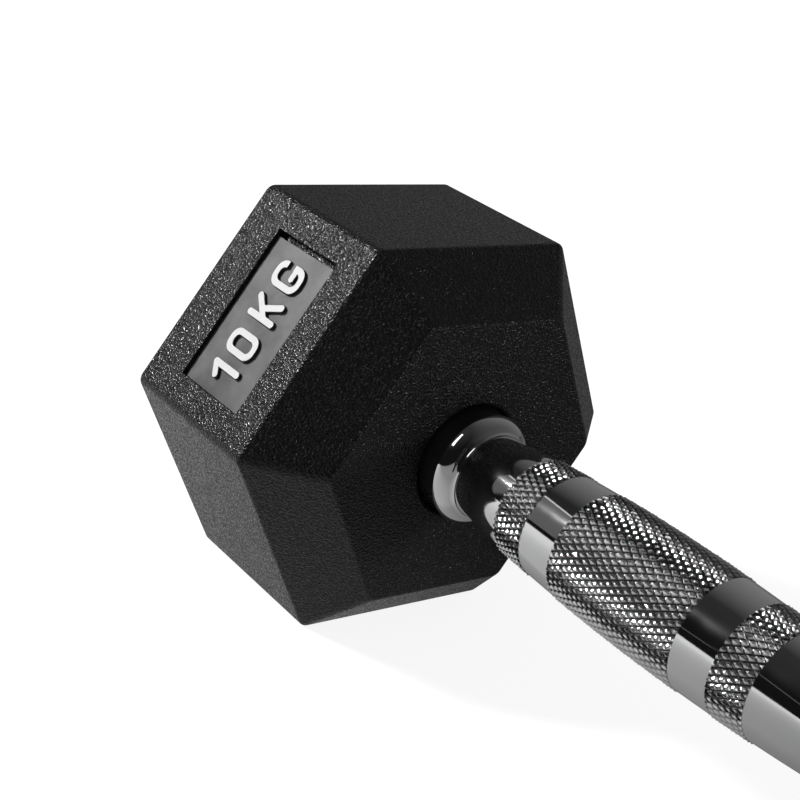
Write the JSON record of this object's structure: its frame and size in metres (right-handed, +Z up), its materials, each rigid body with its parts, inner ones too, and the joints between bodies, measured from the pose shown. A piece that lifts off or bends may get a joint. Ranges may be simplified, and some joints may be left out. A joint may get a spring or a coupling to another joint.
{
  "type": "hex dumbbell",
  "caption": "Fixed hex dumbbell: rubber-cased hexagonal iron heads on a chromed, contoured and knurled bar, held by the bar in one hand.",
  "frame": {"origin": "on the plane that the lower flats rest on, under the middle of the bar", "axes": "+X along the bar, +Z up from the lower flats to the upper ones, +Y towards the right head's badge"},
  "size_m": [0.319, 0.1272, 0.111],
  "materials": {
    "chrome": "bright chrome plate on turned steel, diamond knurled in three bands",
    "black_iron": "semi-gloss black paint on turned cast iron",
    "casing_rubber": "matte moulded rubber with a fine pebbled grain",
    "pin_steel": "ground",
    "badge_grey": "smooth satin",
    "figure_pale": "satin"
  },
  "bodies": {
    "root": {"handle_bar": "chrome", "collar_ring_left": "chrome", "collar_ring_right": "chrome", "iron_core_left": "black_iron", "iron_core_right": "black_iron", "rubber_casing_left": "casing_rubber", "rubber_casing_right": "casing_rubber", "lock_pin_left": "pin_steel", "lock_pin_right": "pin_steel", "badge_plate_left": "badge_grey", "badge_plate_right": "badge_grey", "badge_figures_left": "figure_pale", "badge_figures_right": "figure_pale"}
  },
  "joints": []
}
